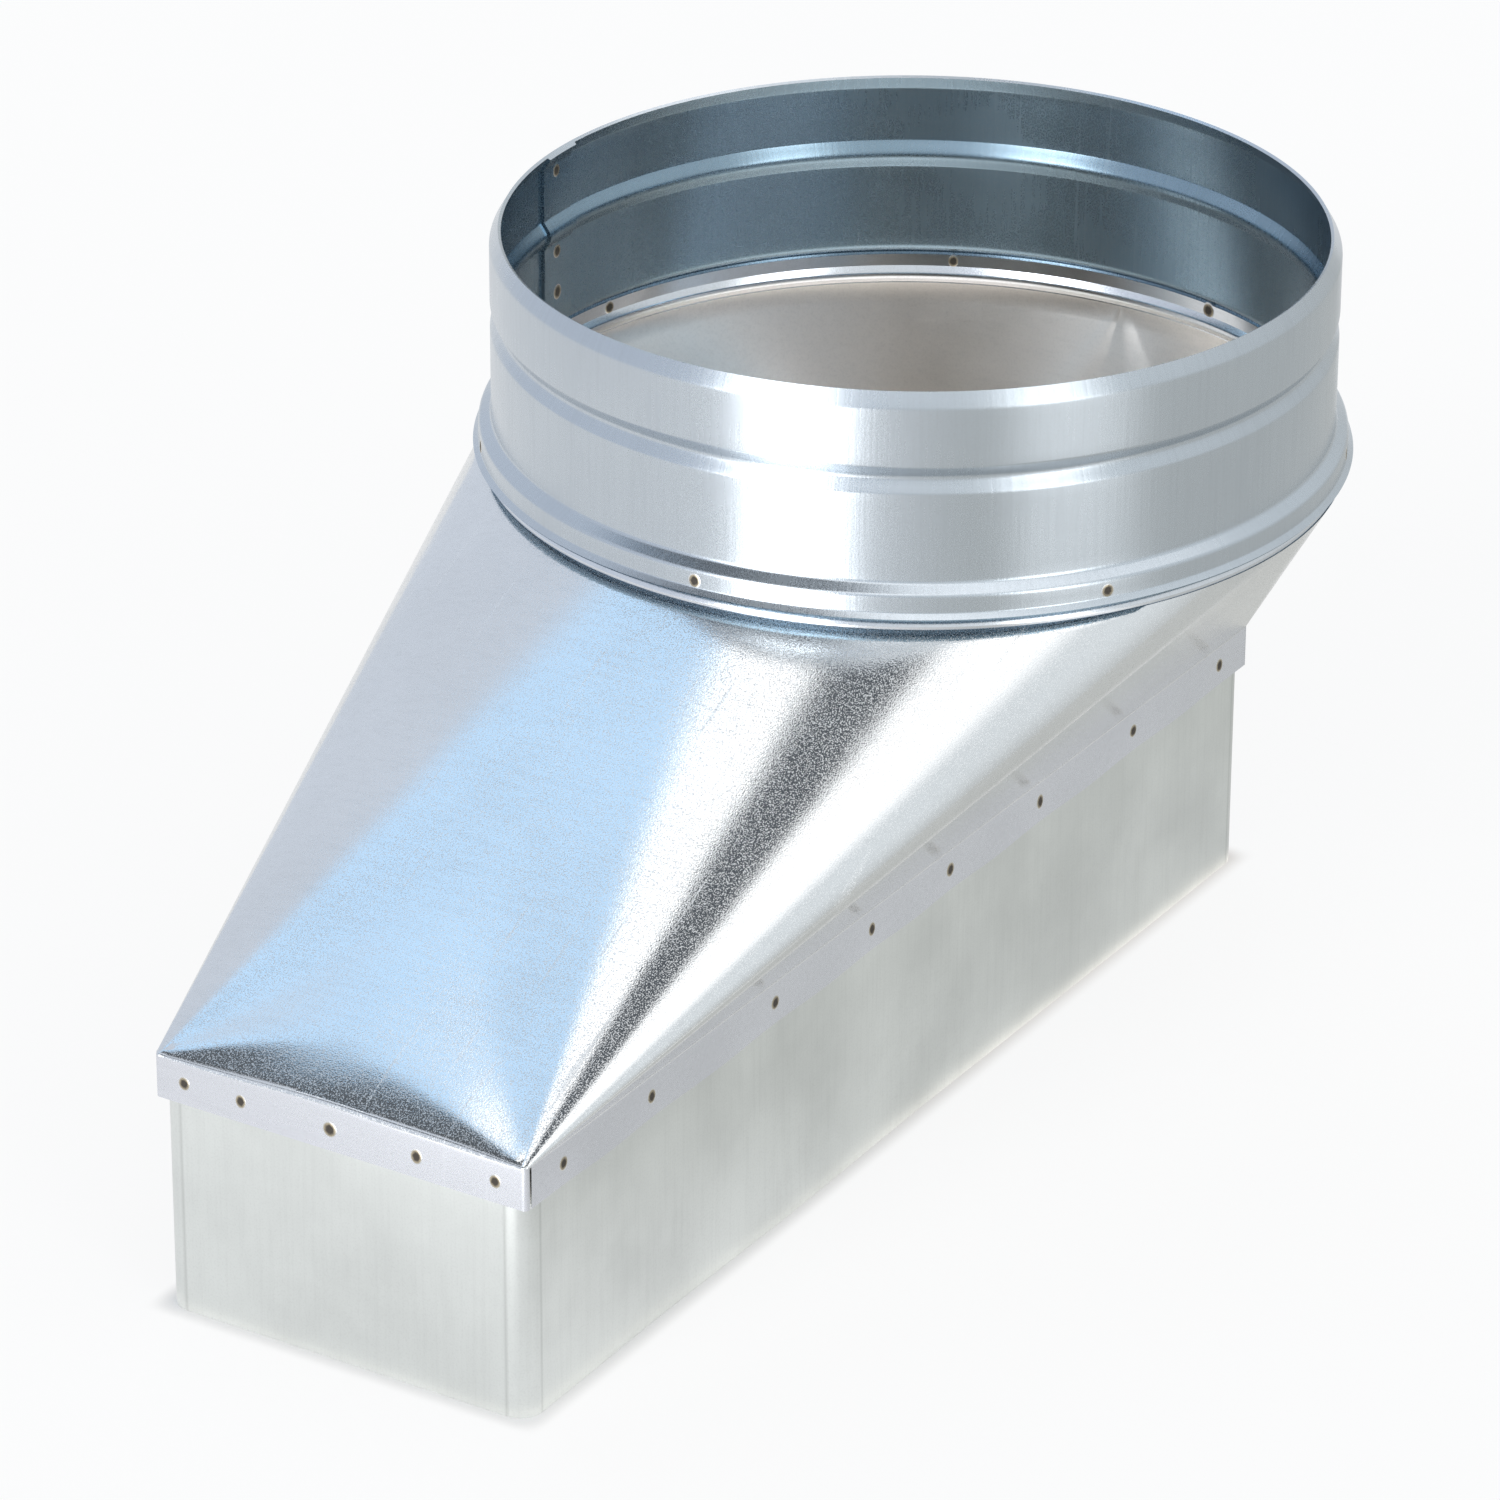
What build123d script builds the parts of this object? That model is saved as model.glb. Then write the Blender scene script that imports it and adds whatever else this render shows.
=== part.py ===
"""Flat duct adapter: a sheet-steel fitting that leads a flat rectangular duct into a round one.

Millimetres, +Z up. The origin is the centre of the flat duct end, in the plane of its open edge. X runs
along the long side of the flat duct, towards the end that the round spigot hangs over.
"""
from build123d import *
from math import cos, degrees, hypot, radians, sin
import os

# Sheet and spot welds
sheet = 0.5
weld_radius = 0.8
weld_dent = 0.1

# Flat duct end: a bent rectangular sleeve, outside sizes
duct_length = 200.0
duct_width = 60.0
duct_corner = 3.5
sleeve_showing = 33.0
sleeve_lap = 8.0
lap_weld_count = 3

# Flange of the hopper, folded down outside the sleeve
flange_depth = 6.5
flange_slit = 0.5
fold_clearance = 0.5
short_weld_edge = 4.6
short_weld_fractions = (0.0, 0.185, 0.474, 0.751, 1.0)
long_weld_edge = 8.6
long_weld_fractions = (0.0, 0.12, 0.295, 0.438, 0.558, 0.7, 0.853, 1.0)

# Hopper from the rectangle to the circle
hopper_rise = 41.4
spigot_shift = 50.0

# Neck of the hopper and the belt of the spigot that covers it
neck_showing = 2.1
neck_clearance = 0.6
neck_cove = 0.7
cove_height = 1.5
neck_foot = 0.3
root_lip = 0.2
belt_step = 1.9
belt_height = 3.3
belt_flare = 0.8
flare_height = 0.7
shoulder_rise = 1.2
collar_weld_angles = (25.0, 78.0, 130.0, 182.0, 236.0, 292.0, 345.0)

# Round spigot, outside sizes
spigot_radius = 62.0
spigot_length = 28.5
bead_below_rim = 13.0
bead_width = 4.0
bead_depth = 1.3
lip_height = 2.2
lip_draw = 1.3
seam_angle = 92.0
seam_lap = 8.0
seam_weld_drops = (3.6, 16.6, 23.2)

# Inside radii of the rolled profiles
tight_bend = 0.3
soft_bend = 0.7

# Levels that follow from the sizes above
fold_z = sleeve_showing + flange_depth
sleeve_top = fold_z - sheet - fold_clearance
neck_root = fold_z + hopper_rise
belt_bottom = neck_root + neck_showing
belt_top = belt_bottom + belt_height
shoulder_top = belt_top + shoulder_rise
rim_z = shoulder_top + spigot_length
belt_radius = spigot_radius + belt_step
neck_radius = belt_radius - sheet
neck_top = belt_top - neck_clearance
flare_top = belt_bottom + flare_height
collar_weld_z = (flare_top + neck_top) / 2


def skin(points, bends, depth=sheet, start=0.0):
    """Section of a rolled sheet: its outer side follows the points (radius, height) from bottom to top.

    The bends are inside radii, one for each corner, so the far side of a corner gets the sheet on top.
    """
    marks = [Vector(*point) for point in points]
    steps = [(after - before).normalized() for before, after in zip(marks, marks[1:])]
    inward = [Vector(-step.Y, step.X) for step in steps]
    turns = [first.cross(second).Z for first, second in zip(steps, steps[1:])]

    def side(shift):
        line = [marks[0] + inward[0] * shift]
        for mark, first, second in zip(marks[1:], inward, inward[1:]):
            line.append(mark + (first + second) * (shift / (1 + first.dot(second))))
        line.append(marks[-1] + inward[-1] * shift)
        return line

    def radii(shift):
        return [bend + (start + depth - shift if turn > 0 else shift) for bend, turn in zip(bends, turns)]

    outer = FilletPolyline(*side(start), radius=radii(start))
    inner = FilletPolyline(*side(start + depth), radius=radii(start + depth))
    caps = [Line(outer @ 0, inner @ 0), Line(outer @ 1, inner @ 1)]
    return Plane.XZ * make_face([*outer.edges(), *inner.edges(), *caps])


def about_spigot(section, arc=360.0):
    """Turn a section about the spigot's axis."""
    return Pos(spigot_shift, 0, 0) * revolve(section, axis=Axis.Z, revolution_arc=arc)


def weld():
    """Spot weld through two sheets, down from the outer face, its ends a little below both faces."""
    return Pos(0, 0, -sheet) * Cylinder(weld_radius, 2 * sheet - 2 * weld_dent)


def drill():
    """Space that a spot weld fills, right through both sheets."""
    return Pos(0, 0, -sheet) * Cylinder(weld_radius, 3 * sheet)


# Sleeve: one bent sheet with rounded corners, lapped on the inside of its far long side
sleeve_section = RectangleRounded(duct_length, duct_width, duct_corner)
sleeve_section -= RectangleRounded(
    duct_length - 2 * sheet,
    duct_width - 2 * sheet,
    duct_corner - sheet,
)
sleeve_section += Pos(0, duct_width / 2 - sheet) * Rectangle(sleeve_lap, 2 * sheet)
sleeve = extrude(sleeve_section, sleeve_top)

# Hopper: four flat triangles and four cone patches between the fold and the root of the neck


def hopper_body(box, ring_span, bend):
    """Solid between a rectangle at the fold and a circle at the root of the neck.

    The box is (near x, far x, half width), with its corners rounded by the bend; the circle reaches from
    the near to the far x of the ring.
    """
    near, far, half_width = box
    centre = sum(ring_span) / 2
    radius = (ring_span[1] - ring_span[0]) / 2
    base = []
    ring = []
    faces = []
    for turn, reach in enumerate((far, half_width, -near, half_width)):
        facing = 90 * turn
        out = Vector(1, 0, 0).rotate(Axis.Z, facing)
        along = Vector(0, 1, 0).rotate(Axis.Z, facing)
        ends = [(-half_width, half_width), (-far, -near), (-half_width, half_width), (near, far)][turn]
        wall = out * reach + Vector(0, 0, fold_z)
        start = wall + along * (ends[0] + bend)
        end = wall + along * (ends[1] - bend)
        bend_centre = end - out * bend
        bend_middle = bend_centre + (out + along).normalized() * bend
        side = Line(start, end).edge()
        corner = ThreePointArc(end, bend_middle, bend_centre + along * bend).edge()
        spokes = [Vector(radius, 0, 0).rotate(Axis.Z, facing + swing) for swing in (0, 45, 90)]
        marks = [spoke + Vector(centre, 0, neck_root) for spoke in spokes]
        quarter = ThreePointArc(*marks).edge()
        faces.append(Face(Wire.make_polygon([start, end, marks[0]])))
        faces.append(Face.make_surface_from_curves(corner, quarter))
        base += [side, corner]
        ring.append(quarter)
    floor = Face(Wire(base))
    roof = Face(Wire(ring))
    return Solid(Shell([floor, roof, *faces]))


def level_inset(run):
    """How far the sheet's inner side stands in, measured level, on a wall that leans by the run."""
    return sheet * hypot(hopper_rise, run) / hopper_rise


fold_x = duct_length / 2 + sheet
fold_y = duct_width / 2 + sheet
ring_radius = neck_radius + root_lip
ring_near = spigot_shift - ring_radius
ring_far = spigot_shift + ring_radius
near_inset = level_inset(ring_near + fold_x)
far_inset = level_inset(ring_far - fold_x)
side_inset = level_inset(ring_radius - fold_y)
hopper = hopper_body((-fold_x, fold_x, fold_y), (ring_near, ring_far), 2 * sheet)
hopper -= hopper_body(
    (-fold_x + near_inset, fold_x - far_inset, fold_y - side_inset),
    (ring_near + near_inset, ring_far - far_inset),
    sheet / 2,
)

# Flange tabs: the short ones cover the corners, the long ones stop a slit away from them
tab_z = fold_z - flange_depth / 2
for end in (-1, 1):
    short_x = end * (duct_length + sheet) / 2
    hopper += Pos(short_x, 0, tab_z) * Box(sheet, duct_width + 2 * sheet, flange_depth)
    long_y = end * (duct_width + sheet) / 2
    hopper += Pos(0, long_y, tab_z) * Box(duct_length - 2 * flange_slit, sheet, flange_depth)

# Neck: the hopper's top edge turned up, with a cove below the part that stands inside the belt
neck_points = [
    (neck_radius, neck_root),
    (neck_radius, neck_root + neck_foot),
    (neck_radius - neck_cove, neck_root + cove_height),
    (neck_radius, flare_top),
    (neck_radius, neck_top),
]
neck = about_spigot(skin(neck_points, [tight_bend, soft_bend, tight_bend]))
transition = hopper + neck

# Spigot: flared edge, belt over the neck, shoulder, tube with a bead, drawn-in lip
bead_z = rim_z - bead_below_rim
spigot_points = [
    (belt_radius + belt_flare, belt_bottom),
    (belt_radius, flare_top),
    (belt_radius, belt_top),
    (spigot_radius, shoulder_top),
    (spigot_radius, bead_z - bead_width / 2),
    (spigot_radius - bead_depth, bead_z),
    (spigot_radius, bead_z + bead_width / 2),
    (spigot_radius, rim_z - lip_height),
    (spigot_radius - lip_draw, rim_z),
]
spigot_bends = [tight_bend, tight_bend, tight_bend, tight_bend, soft_bend, tight_bend, soft_bend]
spigot = about_spigot(skin(spigot_points, spigot_bends))

# Lap of the spigot's seam: a second layer inside, notched clear of the neck
lap_arc = degrees(seam_lap / spigot_radius)
lap_points = [(spigot_radius, shoulder_top)] + spigot_points[4:]
lap = Rot(0, 0, seam_angle - lap_arc / 2) * revolve(
    skin(lap_points, spigot_bends[3:], start=sheet), axis=Axis.Z, revolution_arc=lap_arc
)
spigot += Pos(spigot_shift, 0, 0) * lap

# Where the spot welds stand: the frames point outwards, from the outer face of the outer sheet


def spread(fractions, span, edge):
    """Places along a side, at fractions of the way from an edge distance at one end to it at the other."""
    reach = span - 2 * edge
    return [reach * (fraction - 0.5) for fraction in fractions]


def outward(x, y, z, angle):
    """Frame at a point, its Z axis level and turned to the angle."""
    facing = Vector(cos(radians(angle)), sin(radians(angle)))
    return Plane((x, y, z), x_dir=(0, 0, 1), z_dir=facing).location


flange_places = []
for end in (-1, 1):
    turn = 0 if end > 0 else 180
    for along in spread(short_weld_fractions, duct_width, short_weld_edge):
        flange_places.append(outward(end * (duct_length / 2 + sheet), -along, tab_z, turn))
    for along in spread(long_weld_fractions, duct_length, long_weld_edge):
        flange_places.append(outward(along, end * (duct_width / 2 + sheet), tab_z, end * 90))

collar_places = []
for angle in collar_weld_angles:
    x = spigot_shift + belt_radius * cos(radians(angle))
    y = belt_radius * sin(radians(angle))
    collar_places.append(outward(x, y, collar_weld_z, angle))

seam_places = []
for drop in seam_weld_drops:
    x = spigot_shift + spigot_radius * cos(radians(seam_angle))
    y = spigot_radius * sin(radians(seam_angle))
    seam_places.append(outward(x, y, rim_z - drop, seam_angle))

lap_places = []
for index in range(1, lap_weld_count + 1):
    lap_places.append(outward(0, duct_width / 2, sleeve_showing * index / (lap_weld_count + 1), 90))

for place in flange_places + lap_places:
    sleeve -= place * drill()
for place in flange_places + collar_places:
    transition -= place * drill()
for place in collar_places + seam_places:
    spigot -= place * drill()

# Weld nuggets, one group for each joint
flange_welds = Compound(children=[place * weld() for place in flange_places])
collar_welds = Compound(children=[place * weld() for place in collar_places])
seam_welds = Compound(children=[place * weld() for place in seam_places + lap_places])

nodes = {
    "sleeve": sleeve,
    "transition": transition,
    "spigot": spigot,
    "flange_welds": flange_welds,
    "collar_welds": collar_welds,
    "seam_welds": seam_welds,
}
os.makedirs("parts", exist_ok=True)
for name, shape in nodes.items():
    export_step(shape, f"parts/{name}.step")
    print(name, len(shape.solids()), round(shape.volume, 3), shape.bounding_box())
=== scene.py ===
import bmesh
import bpy
import numpy as np
from mathutils import Matrix, Vector


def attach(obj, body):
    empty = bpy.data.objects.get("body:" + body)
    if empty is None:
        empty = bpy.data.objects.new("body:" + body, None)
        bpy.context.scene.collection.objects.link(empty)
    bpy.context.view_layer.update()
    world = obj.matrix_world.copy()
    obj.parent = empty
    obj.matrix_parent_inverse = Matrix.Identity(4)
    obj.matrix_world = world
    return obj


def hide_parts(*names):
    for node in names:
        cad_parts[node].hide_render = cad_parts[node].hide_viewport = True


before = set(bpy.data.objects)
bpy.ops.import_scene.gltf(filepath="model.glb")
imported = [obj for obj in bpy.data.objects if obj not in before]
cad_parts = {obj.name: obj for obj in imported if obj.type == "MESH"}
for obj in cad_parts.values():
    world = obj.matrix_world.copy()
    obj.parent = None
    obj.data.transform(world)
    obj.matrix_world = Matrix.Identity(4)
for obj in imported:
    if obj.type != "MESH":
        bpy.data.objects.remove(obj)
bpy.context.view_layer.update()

# Studio: the camera stands a metre off and looks down on the front corner of the flat duct end.
# The fitting stands on a plain white table, between pale walls and under a ceiling of light and dark
# panels, which are what its bright zinc mirrors.
mm = 0.001
half_long = 100.0 * mm
half_short = 30.0 * mm
swing, pitch, roll = np.radians((-58.28, 26.13, 0.218))
aimed_at = Vector((-0.03406, -0.02401, 0.07230))
camera_distance = 1.03309
camera_back = Vector((np.sin(swing) * np.cos(pitch), -np.cos(swing) * np.cos(pitch), np.sin(pitch)))
camera_level = Vector((np.cos(swing), np.sin(swing), 0.0))
camera_top = camera_back.cross(camera_level)
camera_right = camera_level * np.cos(roll) + camera_top * np.sin(roll)
camera_up = camera_top * np.cos(roll) - camera_level * np.sin(roll)
camera_eye = aimed_at + camera_back * camera_distance
camera_data = bpy.data.cameras.new("camera")
camera_data.sensor_width = 36.0
camera_data.lens = 179.97
camera_data.clip_start = 0.05
camera_data.clip_end = 50.0
camera = bpy.data.objects.new("camera", camera_data)
placing = Matrix((camera_right, camera_up, camera_back)).transposed().to_4x4()
placing.translation = camera_eye
camera.matrix_world = placing
bpy.context.scene.collection.objects.link(camera)
bpy.context.scene.camera = camera
bpy.context.scene.view_settings.view_transform = "Standard"


def add(tree, kind, sockets=None, **settings):
    """Puts a node in a tree. Each socket gets a plain value, or a link from the output given for it."""
    made = tree.nodes.new(kind)
    for setting, value in settings.items():
        setattr(made, setting, value)
    for socket, value in (sockets or {}).items():
        if isinstance(value, bpy.types.NodeSocket):
            tree.links.new(value, made.inputs[socket])
        else:
            made.inputs[socket].default_value = value
    return made


def calc(tree, operation, first, second=0.0):
    """One sum with two numbers, such as their product, or the larger of them."""
    return add(tree, "ShaderNodeMath", {0: first, 1: second}, operation=operation).outputs[0]


def ease(tree, value, low, high):
    """A smooth step from 0 at the low value to 1 at the high one."""
    sockets = {"Value": value, "From Min": low, "From Max": high}
    return add(tree, "ShaderNodeMapRange", sockets, interpolation_type="SMOOTHSTEP").outputs[0]


def blend_colour(tree, share, first, second):
    """The first colour where the share is 0, and the second where it is 1."""
    made = add(tree, "ShaderNodeMix", data_type="RGBA")
    for place, value in ((0, share), (6, first), (7, second)):
        if isinstance(value, bpy.types.NodeSocket):
            tree.links.new(value, made.inputs[place])
        else:
            made.inputs[place].default_value = value
    return made.outputs[2]


def grey(level, tint=(1.0, 1.0, 1.0)):
    """A colour of one level, times a tint."""
    return (level * tint[0], level * tint[1], level * tint[2], 1.0)


world = bpy.data.worlds.new("studio")
world.use_nodes = True
bpy.context.scene.world = world
room = world.node_tree
room.nodes.clear()
least = 0.02
looking = add(room, "ShaderNodeTexCoord").outputs["Generated"]
toward = (float(np.sin(swing)), float(-np.cos(swing)), 0.0)
across = (float(np.cos(swing)), float(np.sin(swing)), 0.0)
height = add(room, "ShaderNodeSeparateXYZ", {0: looking}).outputs[2]
near = add(room, "ShaderNodeVectorMath", {0: looking, 1: toward}, operation="DOT_PRODUCT").outputs["Value"]
side = add(room, "ShaderNodeVectorMath", {0: looking, 1: across}, operation="DOT_PRODUCT").outputs["Value"]
above = calc(room, "MAXIMUM", height, least)
near_up = calc(room, "DIVIDE", near, above)
side_up = calc(room, "DIVIDE", side, above)
level = calc(room, "SQRT", calc(room, "SUBTRACT", 1.0, calc(room, "MULTIPLY", height, height)))
level = calc(room, "MAXIMUM", level, least)
near_flat = calc(room, "DIVIDE", near, level)
side_flat = calc(room, "DIVIDE", side, level)
# Walls: a lilac grey on the left, and a plainer grey on the right that darkens towards the table
low_wall = grey(0.66, (0.97, 1.0, 1.0))
high_wall = grey(0.88, (0.95, 1.0, 1.03))
lilac_wall = grey(0.76, (0.93, 1.0, 1.12))
wall = blend_colour(room, ease(room, height, -0.1, 0.75), low_wall, high_wall)
wall = blend_colour(room, ease(room, side_flat, 0.1, -0.5), wall, lilac_wall)
# Two standing lights beside the camera
left_light = calc(room, "MULTIPLY", ease(room, side_flat, -0.38, -0.5), ease(room, side_flat, -0.85, -0.7))
left_light = calc(room, "MULTIPLY", left_light, ease(room, near_flat, 0.0, 0.2))
right_light = calc(room, "MULTIPLY", ease(room, side_flat, 0.38, 0.5), ease(room, side_flat, 0.8, 0.65))
right_light = calc(room, "MULTIPLY", right_light, ease(room, near_flat, 0.0, 0.2))
standing = calc(room, "MULTIPLY", ease(room, height, -0.02, 0.06), ease(room, height, 0.75, 0.6))
wall = blend_colour(room, calc(room, "MULTIPLY", left_light, standing), wall, grey(5.0, (0.99, 1.0, 1.0)))
wall = blend_colour(room, calc(room, "MULTIPLY", right_light, standing), wall, grey(3.0, (0.98, 1.0, 1.0)))
# Ceiling, from the left: the lilac wall, a blue panel, a white panel, a dark gap, a second white panel and
# the wall again. It is measured along a line from the far left to the right, and across it towards the
# camera. The left part of it is dark on the camera's side.
line_side = 0.83
line_near = 0.56
blue_panel = grey(1.0, (0.67, 0.94, 1.24))
dark_gap = grey(0.13, (0.90, 1.0, 1.12))
right_along = calc(room, "MULTIPLY", side_up, line_side)
right_along = calc(room, "ADD", right_along, calc(room, "MULTIPLY", near_up, line_near))
near_across = calc(room, "MULTIPLY", near_up, line_side)
near_across = calc(room, "SUBTRACT", near_across, calc(room, "MULTIPLY", side_up, line_near))
ceiling = blend_colour(room, ease(room, right_along, -0.79, -0.91), blue_panel, wall)
ceiling = blend_colour(room, ease(room, right_along, -0.475, -0.415), ceiling, grey(1.7))
ceiling = blend_colour(room, ease(room, right_along, -0.245, -0.222), ceiling, dark_gap)
ceiling = blend_colour(room, ease(room, right_along, -0.045, 0.035), ceiling, grey(1.6))
ceiling = blend_colour(room, ease(room, right_along, 0.25, 0.60), ceiling, wall)
camera_side = ease(room, near_across, -0.055, 0.025)
shade = calc(room, "MULTIPLY", camera_side, ease(room, right_along, -0.15, -0.30))
ceiling = blend_colour(room, shade, ceiling, dark_gap)
overhead = ease(room, height, 0.70, 0.80)
surround = blend_colour(room, overhead, wall, ceiling)
surround_light = add(room, "ShaderNodeBackground", {"Color": surround, "Strength": 1.0})
white_light = add(room, "ShaderNodeBackground", {"Color": grey(1.0), "Strength": 1.0})
seen = add(room, "ShaderNodeLightPath").outputs["Is Camera Ray"]
by_ray = {0: seen, 1: surround_light.outputs[0], 2: white_light.outputs[0]}
chosen = add(room, "ShaderNodeMixShader", by_ray)
add(room, "ShaderNodeOutputWorld", {"Surface": chosen.outputs[0]})

# Table: white to the camera, with the fitting's shadow on it
table_size = 8.0
table_mesh = bpy.data.meshes.new("table_top")
table_corners = [(-table_size, -table_size, 0.0), (table_size, -table_size, 0.0)]
table_corners += [(table_size, table_size, 0.0), (-table_size, table_size, 0.0)]
table_mesh.from_pydata(table_corners, [], [(0, 1, 2, 3)])
table_top = bpy.data.objects.new("table_top", table_mesh)
bpy.context.scene.collection.objects.link(table_top)
paper = bpy.data.materials.new("white_table")
paper.use_nodes = True
sheet_tree = paper.node_tree
sheet_tree.nodes.clear()
ray = add(sheet_tree, "ShaderNodeLightPath")
direct = calc(sheet_tree, "MAXIMUM", ray.outputs["Is Camera Ray"], ray.outputs["Is Transmission Ray"])
direct = calc(sheet_tree, "MAXIMUM", direct, ray.outputs["Is Glossy Ray"])
matt = add(sheet_tree, "ShaderNodeBsdfDiffuse", {"Color": grey(0.8)})
glow = add(sheet_tree, "ShaderNodeEmission", {"Color": grey(1.0), "Strength": 1.0})
spot = add(sheet_tree, "ShaderNodeTexCoord").outputs["Object"]
spot = add(sheet_tree, "ShaderNodeSeparateXYZ", {0: spot})
# Inside the duct the table is painted warmer, and only its far part glows: a painted warm light of 1.7 in
# the steel, and a painted warm shade of 0.62 to the camera
off_x = calc(sheet_tree, "ABSOLUTE", spot.outputs[0])
off_y = calc(sheet_tree, "ABSOLUTE", spot.outputs[1])
under_x = ease(sheet_tree, off_x, half_long + 3 * mm, half_long - 2 * mm)
under_y = ease(sheet_tree, off_y, half_short + 3 * mm, half_short - 2 * mm)
inside = calc(sheet_tree, "MULTIPLY", under_x, under_y)
dull_inside = calc(sheet_tree, "MULTIPLY", inside, ease(sheet_tree, spot.outputs[0], 60 * mm, -60 * mm))
white_share = 0.85
share = calc(sheet_tree, "SUBTRACT", white_share, calc(sheet_tree, "MULTIPLY", dull_inside, white_share))
share = calc(sheet_tree, "MULTIPLY", direct, share)
# Seen in the steel the table is painted: greyer, with a painted shadow in front of the long side and two
# painted pools of light.
# The pools lie by their bearing from a point under the hopper, in radians. It is 0 straight out from the
# near short side, and it grows anticlockwise, towards the near long side.
under_hopper_x = 30 * mm
# Painted light: the pools glow at 4.5, and only the steel sees them
painted_pool_light = grey(4.5)
back_x = calc(sheet_tree, "SUBTRACT", under_hopper_x, spot.outputs[0])
back_y = calc(sheet_tree, "MULTIPLY", spot.outputs[1], -1.0)
bearing = calc(sheet_tree, "ARCTAN2", back_y, back_x)
away = calc(sheet_tree, "MULTIPLY", back_x, back_x)
away = calc(sheet_tree, "SQRT", calc(sheet_tree, "ADD", away, calc(sheet_tree, "MULTIPLY", back_y, back_y)))
far = ease(sheet_tree, away, 205 * mm, 235 * mm)
long_side_painted_shadow = ease(sheet_tree, bearing, 0.3, 0.9)
painted_table_in_steel = blend_colour(sheet_tree, long_side_painted_shadow, grey(0.92), grey(0.60, (0.99, 1.0, 0.96)))
first_pool = ease(sheet_tree, bearing, -0.28, -0.08)
first_pool = calc(sheet_tree, "MULTIPLY", first_pool, ease(sheet_tree, bearing, 0.36, 0.20))
second_pool = ease(sheet_tree, bearing, 0.90, 1.15)
second_pool = calc(sheet_tree, "MULTIPLY", second_pool, ease(sheet_tree, bearing, 1.70, 1.35))
painted_pools = calc(sheet_tree, "ADD", first_pool, calc(sheet_tree, "MULTIPLY", second_pool, 0.17))
painted_table_in_steel = blend_colour(sheet_tree, calc(sheet_tree, "MULTIPLY", painted_pools, far), painted_table_in_steel, painted_pool_light)
# Close to the sleeve the table seen in the steel is painted more even: a painted shade that goes to a grey
# of 0.8 by the sleeve's foot
beside_x = calc(sheet_tree, "SUBTRACT", off_x, half_long)
beside_y = calc(sheet_tree, "SUBTRACT", off_y, half_short)
near_sleeve_painted_shade = ease(sheet_tree, calc(sheet_tree, "MAXIMUM", beside_x, beside_y), 60 * mm, 0.0)
painted_table_in_steel = blend_colour(sheet_tree, calc(sheet_tree, "MULTIPLY", near_sleeve_painted_shade, 0.6), painted_table_in_steel, grey(0.80))
# Painted light and shade inside the duct: a warm glow in the steel, a warm shade to the camera
painted_table_in_steel = blend_colour(sheet_tree, inside, painted_table_in_steel, grey(1.7, (1.0, 0.94, 0.88)))
bare_table = blend_colour(sheet_tree, inside, grey(1.0), grey(0.62, (1.0, 0.95, 0.90)))
glow_colour = blend_colour(sheet_tree, ray.outputs["Is Glossy Ray"], bare_table, painted_table_in_steel)
sheet_tree.links.new(glow_colour, glow.inputs["Color"])
lit = add(sheet_tree, "ShaderNodeMixShader", {0: share, 1: matt.outputs[0], 2: glow.outputs[0]})
# From below the table is clear, so that it hides nothing
clear = add(sheet_tree, "ShaderNodeBsdfTransparent")
backside = add(sheet_tree, "ShaderNodeNewGeometry").outputs["Backfacing"]
faced = add(sheet_tree, "ShaderNodeMixShader", {0: backside, 1: lit.outputs[0], 2: clear.outputs[0]})
add(sheet_tree, "ShaderNodeOutputMaterial", {"Surface": faced.outputs[0]})
table_mesh.materials.append(paper)

# Sleeve: the flat duct end, one strip of galvanised sheet bent round a rectangle, lapped on its far side.
# The press brake left rounded corners and an uneven wall. Each end of a bend is coloured with a fine darker
# line.
sheet = 0.5 * mm
sleeve_bend = 3.5 * mm
sleeve_top = 38.5 * mm
sleeve_lap = 8.0 * mm


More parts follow.
